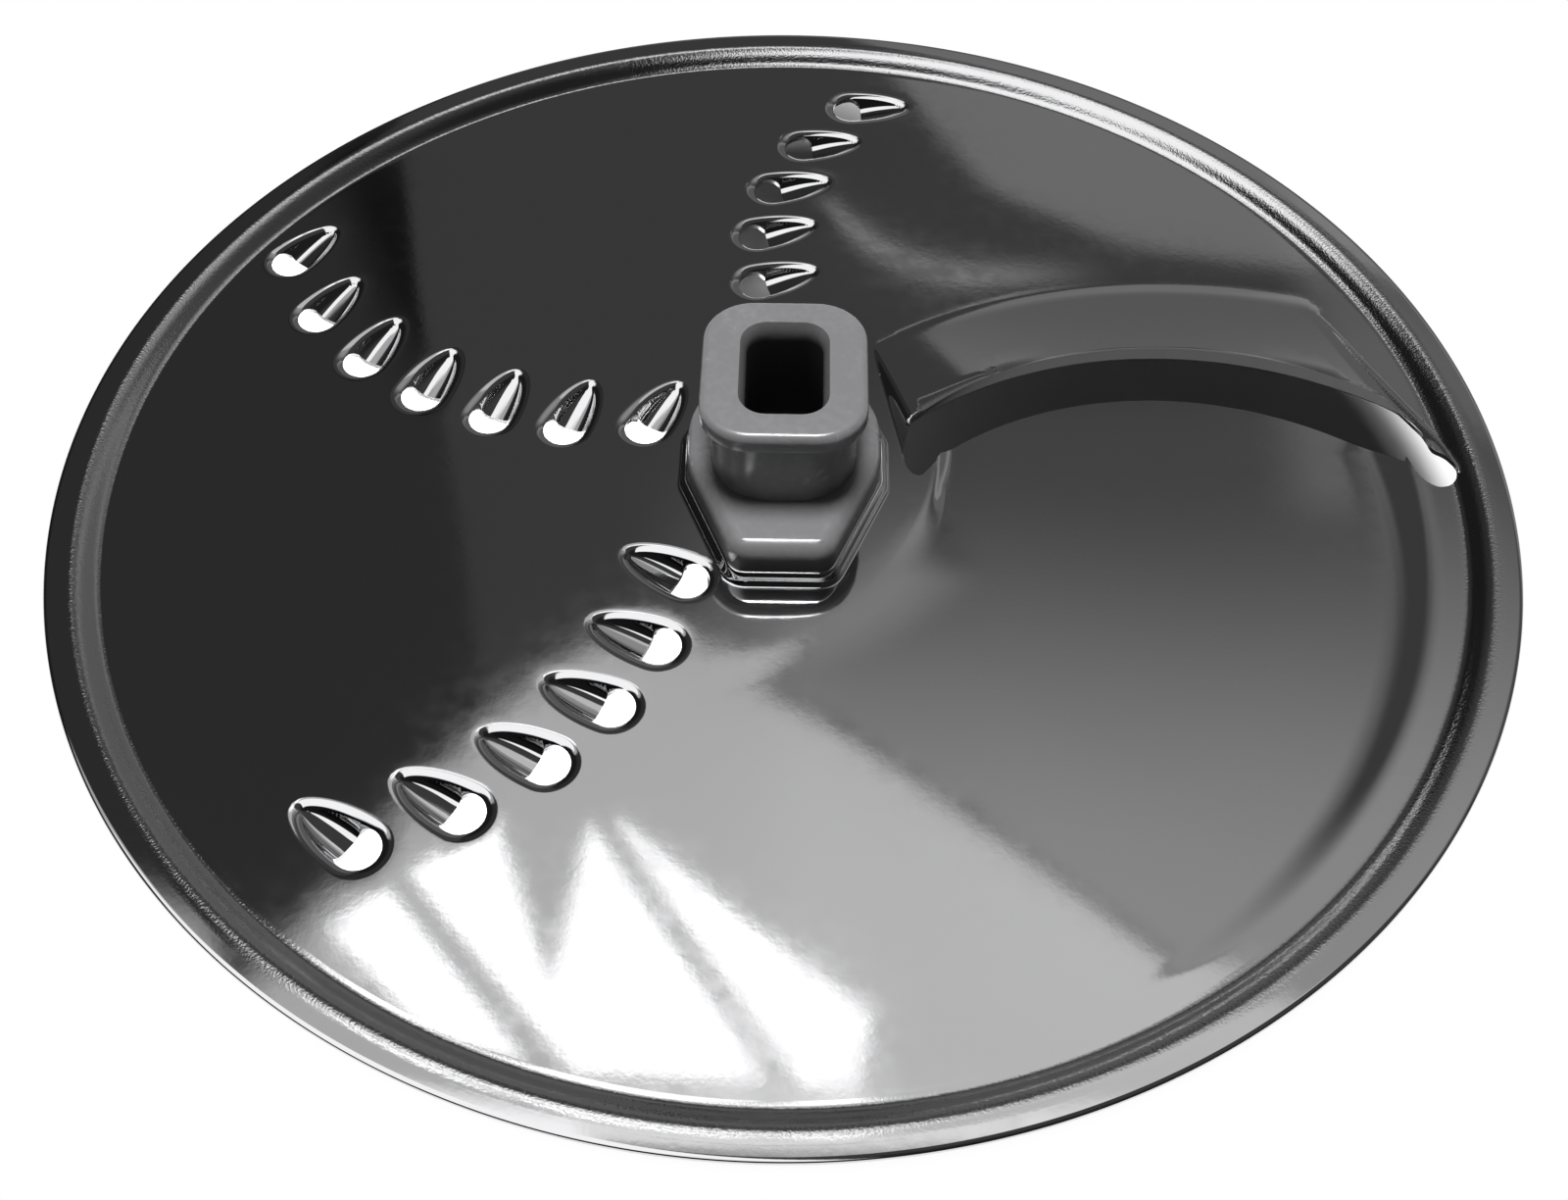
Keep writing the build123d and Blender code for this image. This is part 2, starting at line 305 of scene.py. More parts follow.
def sheet_height(x, y, waviness=0.0):
    """Height of the sheet's top side before its blade is ground."""
    r = np.hypot(x, y)
    zero = 0.0 * x
    rim = soft_min(soft_max(r - WALL_R, zero, RIM_BENDS[0]), zero + STEP_RISE, RIM_BENDS[1])
    seat = (SEAT_FOOT - block_gap(x, y)) * SEAT_RISE / SEAT_RUN
    seat = soft_min(soft_max(seat, zero, SEAT_BENDS[0]), zero + SEAT_RISE, SEAT_BENDS[1])
    ramp = EDGE_RISE * cone_step(x, y, RAMP_BACK, EDGE)
    left = line_gap(x, y, RAMP_LEFT[0], RAMP_LEFT[1]) / RAMP_LEFT[2]
    right = -line_gap(x, y, RAMP_RIGHT[0], RAMP_RIGHT[1]) / RAMP_RIGHT[2]
    front = circle_gap(x, y, SLOT_FRONT) - 1.8
    side = soft_min(soft_min(left, right, 0.8), front, 0.4)
    ramp = np.where(y > -8, soft_max(soft_min(ramp, side, 0.5), zero, 0.12), 0.0)
    nx, ny = math.cos(POCKET_TURN), math.sin(POCKET_TURN)
    pocket = -POCKET_FALL * ((x - POCKET_POINT[0]) * nx + (y - POCKET_POINT[1]) * ny)
    steep = 0.12 + 0.7 * np.clip((y + 17) / 14, 0, 1) ** 2
    outer = (r - POCKET_OUT_R) * POCKET_OUT_SLOPE
    wall = soft_max(outer, -circle_gap(x, y, POCKET_IN) * steep, POCKET_BENDS[0])
    pocket = soft_min(soft_max(pocket, wall, POCKET_BENDS[1]), zero, POCKET_BENDS[2])
    in_front = (circle_gap(x, y, SLOT_FRONT) < POCKET_FRONT_RUN) | (y < POCKET_FRONT_Y)
    pocket = np.where(in_front, pocket, 0.0)
    z = soft_max(soft_max(rim, ramp, 0.05), seat, 0.05) + pocket
    if waviness:
        fade = np.clip((80 - r) / 20, 0, 1) * np.clip((r - 15) / 10, 0, 1)
        waves = np.sin(x / 13 + 1.2) * np.sin(y / 17 + 0.4) + 0.6 * np.sin((x + 1.7 * y) / 23 + 2.0)
        z = z + waviness * waves * fade
    for place in tooth_places():
        u, v = tooth_local(x, y, place)
        near = (np.abs(v) < 4) & (u > -4) & (u < 9.5)
        z[near] += tooth_height(u[near], v[near])
    return z


def ground_off(x, y, top):
    """How much grinding takes off the top side at the blade's edge."""
    k = cone_step(x, y, EDGE, BEVEL)
    low = EDGE_RISE - SHEET + EDGE_LAND
    bevel = low + (BEVEL_Z - low) * k
    blade = (np.abs(x - 47.2) < 32.6) & (y > 4) & (k > -0.3) & (circle_gap(x, y, SLOT_FRONT) > 2.5)
    return np.where(blade, np.clip(top - bevel, 0, SHEET - EDGE_LAND), 0.0)


def arc(circle, x0, x1, n):
    """Points of a circle's upper side from x0 to x1."""
    a0 = math.acos((x0 - circle[0]) / circle[2])
    a1 = math.acos((x1 - circle[0]) / circle[2])
    a = np.linspace(a0, a1, n)
    return np.stack([circle[0] + circle[2] * np.cos(a), circle[1] + circle[2] * np.sin(a)], 1)


def smooth_run(points, step):
    """A rounded line through a few points, sampled every step."""
    p = np.array(points)
    p = np.vstack([2 * p[0] - p[1], p, 2 * p[-1] - p[-2]])
    out = []
    for i in range(1, len(p) - 2):
        n = max(2, int(np.linalg.norm(p[i + 1] - p[i]) / step))
        for t in np.arange(n) / n:
            out.append(
                0.5
                * (
                    2 * p[i]
                    + (p[i + 1] - p[i - 1]) * t
                    + (2 * p[i - 1] - 5 * p[i] + 4 * p[i + 1] - p[i + 2]) * t * t
                    + (3 * p[i] - p[i - 1] - 3 * p[i + 1] + p[i + 2]) * t**3
                )
            )
    return np.array(out)


def slot_outline():
    """The slot's closed outline, counter-clockwise from the edge's outer end."""
    edge = arc(EDGE, 76.6, 15.6, 130)
    front = arc(SLOT_FRONT, 18.8, 76.6, 120)
    return np.vstack([edge[:-1], smooth_run(SLOT_INNER, 0.35), front[1:-1], smooth_run(SLOT_OUTER, 0.35)])


def hole_outline():
    """One tooth opening's outline in its own axes: a circle cut by the lip."""
    a0 = math.acos(LIP_X / HOLE_R)
    a = np.linspace(a0, 2 * math.pi - a0, 34)
    ring = np.stack([HOLE_R * np.cos(a), HOLE_R * np.sin(a)], 1)
    v = np.linspace(ring[-1][1], ring[0][1], 14)[1:-1]
    return np.vstack([ring, np.stack([0 * v + LIP_X, v], 1)])


def tooth_loops():
    """Loops round a tooth's mouth, in its own axes, closest together where the sheet bends most."""
    mouth = tooth_mouth()
    ahead, behind = np.roll(mouth, -1, 0), np.roll(mouth, 1, 0)
    way = ahead - behind
    way /= np.linalg.norm(way, axis=1)[:, None]
    out = np.stack([way[:, 1], -way[:, 0]], 1)
    return [mouth + out * far for far in (0.001, 0.14, 0.29, 0.45, 0.64, 0.84, 1.05, 1.35)]


def tooth_rows():
    """Rows across a tooth's hollow, in its own axes."""
    half = np.array([0.15, 0.3, 0.47, 0.62, 0.75, 0.85, 0.92, 0.97])
    s = np.concatenate([-half[::-1], [0], half])
    rows = []
    for t in np.linspace(0, 1, 17)[1:-1]:
        u = LIP_X + (TOOTH_TAIL_X - LIP_X) * (1 - (1 - t) ** 1.15)
        rows.append(np.stack([u + 0 * s, s * tooth_half(u)], 1))
    return rows


def inside_outline(p, outline):
    """Which points lie inside a closed outline."""
    x, y = p[:, 0], p[:, 1]
    hit = np.zeros(len(p), bool)
    q = np.roll(outline, -1, 0)
    for (ax, ay), (bx, by) in zip(outline, q):
        if ay != by:
            cross = (ay > y) != (by > y)
            hit ^= cross & (x < (bx - ax) * (y - ay) / (by - ay) + ax)
    return hit


class Plan:
    """Points and cut lines of the sheet's plan, with the finer ones laid first."""

    def __init__(self):
        self.points = np.zeros((0, 2))
        self.lines = []

    def add(self, p, gap=0.0):
        """Adds points that keep a gap from those laid before."""
        p = np.asarray(p, float)
        if gap and len(self.points):
            tree = kdtree.KDTree(len(self.points))
            for i, q in enumerate(self.points):
                tree.insert((q[0], q[1], 0), i)
            tree.balance()
            p = p[[tree.find((q[0], q[1], 0))[2] > gap for q in p]]
        first = len(self.points)
        self.points = np.vstack([self.points, p])
        return first

    def line(self, p, closed=True):
        """Adds an outline or a crease that the faces must follow."""
        first = self.add(p)
        n = len(p)
        self.lines += [(first + i, first + (i + 1) % n) for i in range(n if closed else n - 1)]

    def row(self, p, gap, closed=False):
        """Adds a run of points, and lines between the neighbours that keep the gap."""
        p = np.asarray(p, float)
        first = self.add(p, gap)
        new = self.points[first:]
        tree = kdtree.KDTree(len(new))
        for i, q in enumerate(new):
            tree.insert((q[0], q[1], 0), i)
        tree.balance()
        at = []
        for q in p:
            _, i, far = tree.find((q[0], q[1], 0)) if len(new) else (0, 0, 1)
            at.append(first + i if far < 1e-6 else None)
        pairs = zip(at, at[1:] + at[:1] if closed else at[1:])
        self.lines += [(i, j) for i, j in pairs if i is not None and j is not None]


def on_sheet(p, place):
    """Points in a tooth's own axes, moved to their place on the sheet."""
    cx, cy, t = place
    return p @ np.array([[math.cos(t), math.sin(t)], [-math.sin(t), math.cos(t)]]) + (cx, cy)


def sheet_plan():
    """Plan of the whole sheet, with the outlines of its openings."""
    plan = Plan()
    a = np.linspace(0, 2 * math.pi, 480, endpoint=False)
    plan.line(np.stack([RIM_R * np.cos(a), RIM_R * np.sin(a)], 1))
    slot = slot_outline()
    plan.line(slot)
    plan.line(arc(BEVEL, 17.0, 75.9, 120), closed=False)
    spots = tooth_places()
    holes = [on_sheet(hole_outline(), place) for place in spots]
    for hole in holes:
        plan.line(hole)
    for place in spots:
        for loop in tooth_loops():
            plan.row(on_sheet(loop, place), 0.06, closed=True)
        for row in tooth_rows():
            plan.add(on_sheet(row, place), 0.07)
    for r in RIM_RINGS:
        plan.row(np.stack([r * np.cos(a), r * np.sin(a)], 1), 0.05, closed=True)
    add_blade_rows(plan)
    add_pocket_rows(plan)
    add_seat_rings(plan)
    step = 1.9
    grid = np.array(
        [((i + 0.5 * (j % 2)) * step, j * step * 0.866) for j in range(-50, 51) for i in range(-46, 47)]
    )
    fine = np.array([((i + 0.5 * (j % 2)) * 1.2, j * 1.04) for j in range(-40, 41) for i in range(-40, 41)])
    near = np.zeros(len(fine), bool)
    for place in spots:
        u, v = tooth_local(fine[:, 0], fine[:, 1], place)
        near |= np.hypot(u - 2.5, v) < 9
    plan.add(fine[near & (np.hypot(fine[:, 0], fine[:, 1]) < 79)], 0.5)
    plan.add(grid[np.hypot(grid[:, 0], grid[:, 1]) < 79.5], 0.9)
    return plan, slot, holes


def add_blade_rows(plan):
    """Rows over the ground bevel, the ramp and its two end slopes."""
    for k in np.linspace(0, 1, 11)[1:-1]:
        mid = [c + (d - c) * k for c, d in zip(EDGE, BEVEL)]
        plan.row(arc(mid, 16.0 + k, 76.3 - k / 3, 118), 0.1)
    for k in (-0.35, -0.2, -0.12, -0.06, 0, 0.06, 0.12, 0.2, 0.35, 0.5, 0.65, 0.8, 0.9):
        mid = [c + (d - c) * k for c, d in zip(RAMP_BACK, EDGE)]
        plan.add(arc(mid, 9.0 + 3 * k, 77.0, 90), 0.3)
    for (p0, p1, run), sign in ((RAMP_LEFT, 1), (RAMP_RIGHT, -1)):
        along = np.array(p1) - p0
        along /= np.linalg.norm(along)
        out = np.array([-along[1], along[0]]) * sign
        for off in np.arange(-0.8, 2.6 * run, 0.2):
            s = np.linspace(-3, 21, 60)[:, None]
            plan.add(np.array(p0) + along * s + out * off, 0.16)


def add_pocket_rows(plan):
    """Rows over the pocket's walls and the line where its floor begins."""
    for r in np.arange(72.0, 79.3, 0.3):
        b = np.radians(np.arange(-75, 8, 0.6))
        plan.row(np.stack([r * np.cos(b), r * np.sin(b)], 1), 0.2)
    for d in np.arange(-0.8, 3.0, 0.3):
        b = np.radians(np.arange(-70, 0, 1.0))
        far = POCKET_IN[2] + d
        plan.add(np.stack([POCKET_IN[0] + far * np.cos(b), POCKET_IN[1] + far * np.sin(b)], 1), 0.2)
    for off in (-4, -2.5, -1.5, -0.8, 0, 0.8, 1.5, 2.5, 4, 6):
        nx, ny = math.cos(POCKET_TURN), math.sin(POCKET_TURN)
        s = np.arange(-25, 56, 1.4)[:, None]
        plan.add(np.array(POCKET_POINT) + s * (ny, -nx) + off * np.array((nx, ny)), 0.4)


def add_seat_rings(plan):
    """Rings round the hub's block, closest together where the seat bends."""
    core = np.linspace(0, 2 * math.pi, 220, endpoint=False)
    for d in SEAT_RINGS:
        ray = np.stack([np.cos(core), np.sin(core)], 1)
        lo, hi = np.zeros(len(core)), np.full(len(core), 30.0)
        for _ in range(24):
            mid = (lo + hi) / 2
            out = block_gap(ray[:, 0] * mid, ray[:, 1] * mid) > d
            lo, hi = np.where(out, lo, mid), np.where(out, mid, hi)
        plan.row(ray * lo[:, None], 0.09, closed=True)


def press_sheet(waviness):
    """The pressed and ground sheet as one closed mesh, in metres."""
    plan, slot, holes = sheet_plan()
    points = [Vector((p[0], p[1])) for p in plan.points]
    verts, _, tris, _, _, _ = delaunay_2d_cdt(points, plan.lines, [], 0, 1e-5)
    p = np.array([(v.x, v.y) for v in verts])
    t = np.array(tris)
    mid = p[t].mean(1)
    a, b, c = p[t[:, 0]], p[t[:, 1]], p[t[:, 2]]
    area = (b[:, 0] - a[:, 0]) * (c[:, 1] - a[:, 1]) - (b[:, 1] - a[:, 1]) * (c[:, 0] - a[:, 0])
    keep = ~inside_outline(mid, slot) & (np.abs(area) > 1e-7)
    for place, hole in zip(tooth_places(), holes):
        close = np.hypot(mid[:, 0] - place[0], mid[:, 1] - place[1]) < 2 * HOLE_R
        hit = np.zeros(len(mid), bool)
        hit[close] = inside_outline(mid[close], hole)
        keep &= ~hit
    t = t[keep]
    flip = area[keep] < 0
    t[flip] = t[flip][:, ::-1]
    used = np.unique(t)
    index = np.full(len(p), -1)
    index[used] = np.arange(len(used))
    p, t = p[used], index[t]
    n = len(p)
    x, y = p[:, 0], p[:, 1]
    base = sheet_height(x, y, waviness / MM)
    r = np.hypot(x, y)
    trim = EDGE_TRIM * np.clip((r - RIM_R + TRIM_RUN) / TRIM_RUN, 0, 1) ** 2
    off = ground_off(x, y, base)
    top = base - trim - off
    low = base - SHEET + trim
    sides = {}
    for i, j, k in t:
        for e in ((i, j), (j, k), (k, i)):
            sides[e] = True
    border = [(i, j) for i, j in sides if (j, i) not in sides]
    faces = [tuple(f) for f in t] + [(f[2] + n, f[1] + n, f[0] + n) for f in t]
    faces += [(j, i, i + n, j + n) for i, j in border]
    xyz = np.vstack([np.column_stack([x, y, top + BASE_Z]), np.column_stack([x, y, low + BASE_Z])]) * MM
    mesh = bpy.data.meshes.new("steel_disc")
    mesh.from_pydata(xyz.tolist(), [], faces)
    mesh.polygons.foreach_set("use_smooth", [True] * len(mesh.polygons))
    rim_edges = {tuple(sorted(e)) for i, j in border for e in ((i, j), (i + n, j + n))}
    crease = np.abs(cone_step(x, y, EDGE, BEVEL) - 1) < 1e-3
    ground = crease & (np.abs(x - 46.5) < 29.6) & (y > 4)
    for e in mesh.edges:
        i, j = e.vertices
        outer = max(np.hypot(*p[i % n]), np.hypot(*p[j % n])) > RIM_R - 0.01
        if tuple(sorted((i, j))) in rim_edges and not outer:
            e.use_edge_sharp = True
        if i < n and j < n and ground[i] and ground[j]:
            e.use_edge_sharp = True
    mesh.validate()
    add_mask(mesh, "ground", np.clip(off / 0.05, 0, 1))
    add_mask(mesh, "bend", np.clip((r - 80.8) / 0.6, 0, 1) * np.clip((84.6 - r) / 0.6, 0, 1))
    mesh.update()
    return mesh


def add_mask(mesh, name, values):
    """Stores a 0 to 1 mask on the top and under sides of the sheet."""
    mask = mesh.attributes.new(name, "FLOAT", "POINT")
    mask.data.foreach_set("value", np.concatenate([values, values]).astype(np.float32))


def deselect():
    """Leaves nothing selected, so that the next operator acts on the new piece alone."""
    if bpy.context.mode != "OBJECT":
        bpy.ops.object.mode_set(mode="OBJECT")
    bpy.ops.object.select_all(action="DESELECT")


def pick(piece):
    """Selects one piece alone and makes it active."""
    deselect()
    piece.select_set(True)
    bpy.context.view_layer.objects.active = piece


def prism(name, corners, z0, z1, radius, segments):
    """An upright block with rounded corners, extruded from its outline in edit mode. Sizes in millimetres."""
    deselect()
    bpy.ops.mesh.primitive_circle_add(vertices=len(corners), radius=MM, fill_type="NGON", location=(0, 0, 0))
    block = bpy.context.object
    block.name = name
    for v, (x, y) in zip(block.data.vertices, corners):
        v.co = (x * MM, y * MM, z0 * MM)
    bpy.ops.object.mode_set(mode="EDIT")
    bpy.ops.mesh.select_all(action="SELECT")
    bpy.ops.mesh.extrude_region_move(TRANSFORM_OT_translate={"value": (0, 0, (z1 - z0) * MM)})
    bpy.ops.mesh.select_all(action="SELECT")
    bpy.ops.mesh.normals_make_consistent(inside=False)
    bpy.ops.mesh.select_all(action="DESELECT")
    pick_edges(block, lambda a, b: abs(a.z - b.z) > WELD and (a - b).xy.length < WELD)
    bpy.ops.mesh.bevel(offset=radius * MM, segments=segments, profile=0.5, affect="EDGES")
    bpy.ops.object.mode_set(mode="OBJECT")
    return block


def pick_edges(piece, test):
    """Selects, in edit mode, the edges whose ends pass a test."""
    bm = bmesh.from_edit_mesh(piece.data)
    for e in bm.edges:
        e.select_set(test(e.verts[0].co, e.verts[1].co))
    bm.select_flush_mode()
    bmesh.update_edit_mesh(piece.data)


def round_rim(piece, z, radius, segments):
    """Rounds the edges that run round a block at one height."""
    pick(piece)
    bpy.ops.object.mode_set(mode="EDIT")
    bpy.ops.mesh.select_mode(type="EDGE")
    bpy.ops.mesh.select_all(action="DESELECT")
    pick_edges(piece, lambda a, b: abs(a.z - z * MM) < WELD and abs(b.z - z * MM) < WELD)
    bpy.ops.mesh.bevel(offset=radius * MM, segments=segments, profile=0.5, affect="EDGES")
    bpy.ops.object.mode_set(mode="OBJECT")


def combine(piece, other, how):
    """Joins another solid to a piece, or cuts it out, and applies the result."""
    cut = piece.modifiers.new("combine", "BOOLEAN")
    cut.operation = how
    cut.solver = "EXACT"
    cut.object = other
    pick(piece)
    bpy.ops.object.modifier_apply(modifier=cut.name)
    bpy.data.objects.remove(other)


def rectangle(size):
    """Corners of a rectangle about the drive axis."""
    x, y = size
    return [(x / 2, -y / 2), (x / 2, y / 2), (-x / 2, y / 2), (-x / 2, -y / 2)]


def principled(name):
    """A new material with its Principled BSDF and links."""
    mat = bpy.data.materials.new(name)
    mat.use_nodes = True
    return mat, mat.node_tree.nodes, mat.node_tree.links, mat.node_tree.nodes["Principled BSDF"]


def wear_group():
    """Shared fine wear: streaks and specks as a mask, and a roughness that they change."""
    g = bpy.data.node_groups.new("fine_wear", "ShaderNodeTree")
    g.interface.new_socket("Scale", in_out="INPUT", socket_type="NodeSocketFloat")
    g.interface.new_socket("Amount", in_out="INPUT", socket_type="NodeSocketFloat")
    g.interface.new_socket("Base", in_out="INPUT", socket_type="NodeSocketFloat")
    g.interface.new_socket("Mask", in_out="OUTPUT", socket_type="NodeSocketFloat")
    g.interface.new_socket("Roughness", in_out="OUTPUT", socket_type="NodeSocketFloat")
    n, link = g.nodes, g.links.new
    start, end = n.new("NodeGroupInput"), n.new("NodeGroupOutput")
    place = n.new("ShaderNodeTexCoord")
    smudge, speck = n.new("ShaderNodeTexNoise"), n.new("ShaderNodeTexNoise")
    smudge.inputs["Detail"].default_value = 5
    speck.inputs["Detail"].default_value = 2
    for noise in (smudge, speck):
        link(place.outputs["Object"], noise.inputs["Vector"])
    finer = n.new("ShaderNodeMath")
    finer.operation = "MULTIPLY"
    finer.inputs[1].default_value = 9.0
    link(start.outputs["Scale"], smudge.inputs["Scale"])
    link(start.outputs["Scale"], finer.inputs[0])
    link(finer.outputs[0], speck.inputs["Scale"])
    both, ramp = n.new("ShaderNodeMath"), n.new("ShaderNodeMapRange")
    both.operation = "MULTIPLY"
    link(smudge.outputs["Fac"], both.inputs[0])
    link(speck.outputs["Fac"], both.inputs[1])
    ramp.inputs["From Min"].default_value = 0.2
    ramp.inputs["From Max"].default_value = 0.42
    link(both.outputs[0], ramp.inputs["Value"])
    rough = n.new("ShaderNodeMath")
    rough.operation = "MULTIPLY_ADD"
    link(ramp.outputs["Result"], rough.inputs[0])
    link(start.outputs["Amount"], rough.inputs[1])
    link(start.outputs["Base"], rough.inputs[2])
    link(ramp.outputs["Result"], end.inputs["Mask"])
    link(rough.outputs[0], end.inputs["Roughness"])
    return g


def add_wear(nodes, scale, amount, base):
    """Places the shared wear in a material with its own values."""
    node = nodes.new("ShaderNodeGroup")
    node.node_tree = bpy.data.node_groups.get("fine_wear") or wear_group()
    node.inputs["Scale"].default_value = scale
    node.inputs["Amount"].default_value = amount
    node.inputs["Base"].default_value = base
    return node


def toned(colour, share):
    """A colour made darker or lighter."""
    return [c * share for c in colour[:3]] + [1]


def steel_material(finish):
    """Polished stainless steel: a near mirror, grained where it was drawn and satin where it was ground."""
    mat, nodes, links, bsdf = principled("polished_steel")
    w = Wires(mat.node_tree)
    bsdf.inputs["Metallic"].default_value = 1.0
    wear = add_wear(nodes, 45.0, 0.03, finish.steel_roughness)
    ground, bend = w.mask("ground"), w.mask("bend")
    rough = w.do("ADD", wear.outputs["Roughness"], w.do("MULTIPLY", ground, 0.4))
    links.new(w.do("ADD", rough, w.do("MULTIPLY", bend, 0.08)), bsdf.inputs["Roughness"])
    links.new(w.blend(ground, finish.steel, toned(finish.steel, GROUND_TONE)), bsdf.inputs["Base Color"])
    peel = w.noise(1300, 3)
    grain = w.do("MULTIPLY", w.noise(3600, 2), w.do("MULTIPLY", bend, 0.5))
    bump = nodes.new("ShaderNodeBump")
    bump.inputs["Strength"].default_value = 0.3
    bump.inputs["Distance"].default_value = 0.0002
    links.new(w.do("ADD", w.do("MULTIPLY", peel, 0.02), grain), bump.inputs["Height"])
    links.new(bump.outputs["Normal"], bsdf.inputs["Normal"])
    return mat


GROUND_TONE = 0.42
WORN_TONE = 1.12
# Shade painted into the moulding inside the drive socket: the share of its colour that is kept, and its reach
# in x, y and z.
PAINTED_SOCKET_SHADE = 0.12
PAINTED_SOCKET_REACH = ((0.0056, 0.0048), (0.0078, 0.007), (0.0332, 0.0315))


def plastic_material(finish):
    """Satin grey moulding with a fine spark-eroded grain, and shade painted darker into its colour inside its
    socket.
    """
    mat, nodes, links, bsdf = principled("grey_moulding")
    w = Wires(mat.node_tree)
    wear = add_wear(nodes, 120.0, 0.08, 0.2)
    links.new(wear.outputs["Roughness"], bsdf.inputs["Roughness"])
    place, split, bump = [nodes.new("ShaderNode" + kind) for kind in ("TexCoord", "SeparateXYZ", "Bump")]
    links.new(place.outputs["Object"], split.inputs[0])
    x, y, z = w.do("ABSOLUTE", split.outputs["X"]), w.do("ABSOLUTE", split.outputs["Y"]), split.outputs["Z"]
    # Painted shade: inside the socket the colour is darkened and the gloss is lowered.
    socket = w.all_of(*[w.fade(value, *reach) for value, reach in zip((x, y, z), PAINTED_SOCKET_REACH)])
    worn = w.blend(wear.outputs["Mask"], finish.plastic, toned(finish.plastic, WORN_TONE))
    links.new(w.blend(socket, worn, toned(finish.plastic, PAINTED_SOCKET_SHADE)), bsdf.inputs["Base Color"])
    links.new(w.do("SUBTRACT", 0.5, w.do("MULTIPLY", socket, 0.4)), bsdf.inputs["Specular IOR Level"])
    bump.inputs["Strength"].default_value = 0.05
    bump.inputs["Distance"].default_value = 0.00008
    links.new(w.noise(2600, 2), bump.inputs["Height"])
    links.new(bump.outputs["Normal"], bsdf.inputs["Normal"])
    return mat


class DISC_OT_press_sheet(bpy.types.Operator):
    """Presses, punches and grinds the steel sheet"""

    bl_idname = "disc.press_sheet"
    bl_label = "Press the sheet"

    def execute(self, context):
        finish = context.scene.disc_finish
        disc = bpy.data.objects.new("steel_disc", press_sheet(finish.waviness))
        context.collection.objects.link(disc)
        disc.data.materials.append(steel_material(finish))
        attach(disc, "root")
        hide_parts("disc")
        return {"FINISHED"}


class DISC_OT_mould_hub(bpy.types.Operator):
    """Moulds the hub: block, neck and collar on both faces, with the drive socket through them"""

    bl_idname = "disc.mould_hub"
    bl_label = "Mould the hub"

    def execute(self, context):
        hub = prism("grey_hub", block_corners(), BLOCK_FOOT, BLOCK_TOP, BLOCK_R, 8)
        round_rim(hub, BLOCK_TOP, BLOCK_EDGE, 5)
        neck = prism("neck", rectangle(NECK), *NECK_Z, NECK_R, 14)
        collar = prism("collar", rectangle(COLLAR), *COLLAR_Z, COLLAR_R, 12)
        round_rim(collar, COLLAR_Z[1], COLLAR_EDGES[1], 6)
        round_rim(collar, COLLAR_Z[0], COLLAR_EDGES[0], 3)
        combine(hub, neck, "UNION")
        combine(hub, collar, "UNION")
        socket = prism("socket", rectangle(SOCKET), *SOCKET_Z, SOCKET_R, 8)
        combine(hub, socket, "DIFFERENCE")
        mouth = prism("mouth", rectangle(MOUTH), *MOUTH_Z, MOUTH_R, 8)
        for v in mouth.data.vertices:
            if v.co.z < sum(MOUTH_Z) / 2 * MM:
                v.co.x *= SOCKET[0] / MOUTH[0]
                v.co.y *= SOCKET[1] / MOUTH[1]
        combine(hub, mouth, "DIFFERENCE")
        pick(hub)
        bpy.ops.object.mode_set(mode="EDIT")
        bpy.ops.mesh.select_all(action="SELECT")
        bpy.ops.mesh.bisect(plane_co=(0, 0, 0), plane_no=(0, 0, 1), clear_inner=True, use_fill=False)
        bpy.ops.object.mode_set(mode="OBJECT")
        halves = hub.modifiers.new("halves", "MIRROR")
        halves.use_axis = (False, False, True)
        halves.merge_threshold = WELD
        bpy.ops.object.modifier_apply(modifier=halves.name)
        bpy.ops.object.mode_set(mode="EDIT")
        bpy.ops.mesh.select_all(action="SELECT")
        bpy.ops.mesh.remove_doubles(threshold=WELD)
        bpy.ops.mesh.normals_make_consistent(inside=False)
        bpy.ops.object.mode_set(mode="OBJECT")
        hub.location.z = MID_Z * MM
        bpy.ops.object.transform_apply(location=True, rotation=False, scale=False)
        bpy.ops.object.shade_smooth_by_angle(angle=SMOOTH_ANGLE)
        hub.data.materials.append(plastic_material(context.scene.disc_finish))
        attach(hub, "root")
        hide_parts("hub")
        return {"FINISHED"}


def camera_pose():
    """Camera place and turn that match the photograph, in metres."""
    pitch, roll, turn = math.radians(51.99), math.radians(0.31), math.radians(0.73)
    place = Vector((0.09, -143.68, 157.18 + BASE_Z)) * MM
    ahead = Vector((0, math.cos(pitch), -math.sin(pitch)))
    right = Vector((1, 0, 0))
    up = Vector((0, math.sin(pitch), math.cos(pitch)))
    side = right * math.cos(roll) + up * math.sin(roll)
    top = up * math.cos(roll) - right * math.sin(roll)
    pose = Matrix((side, top, -ahead)).transposed().to_4x4()
    pose.translation = place
    return Matrix.Rotation(turn, 4, "Z") @ pose


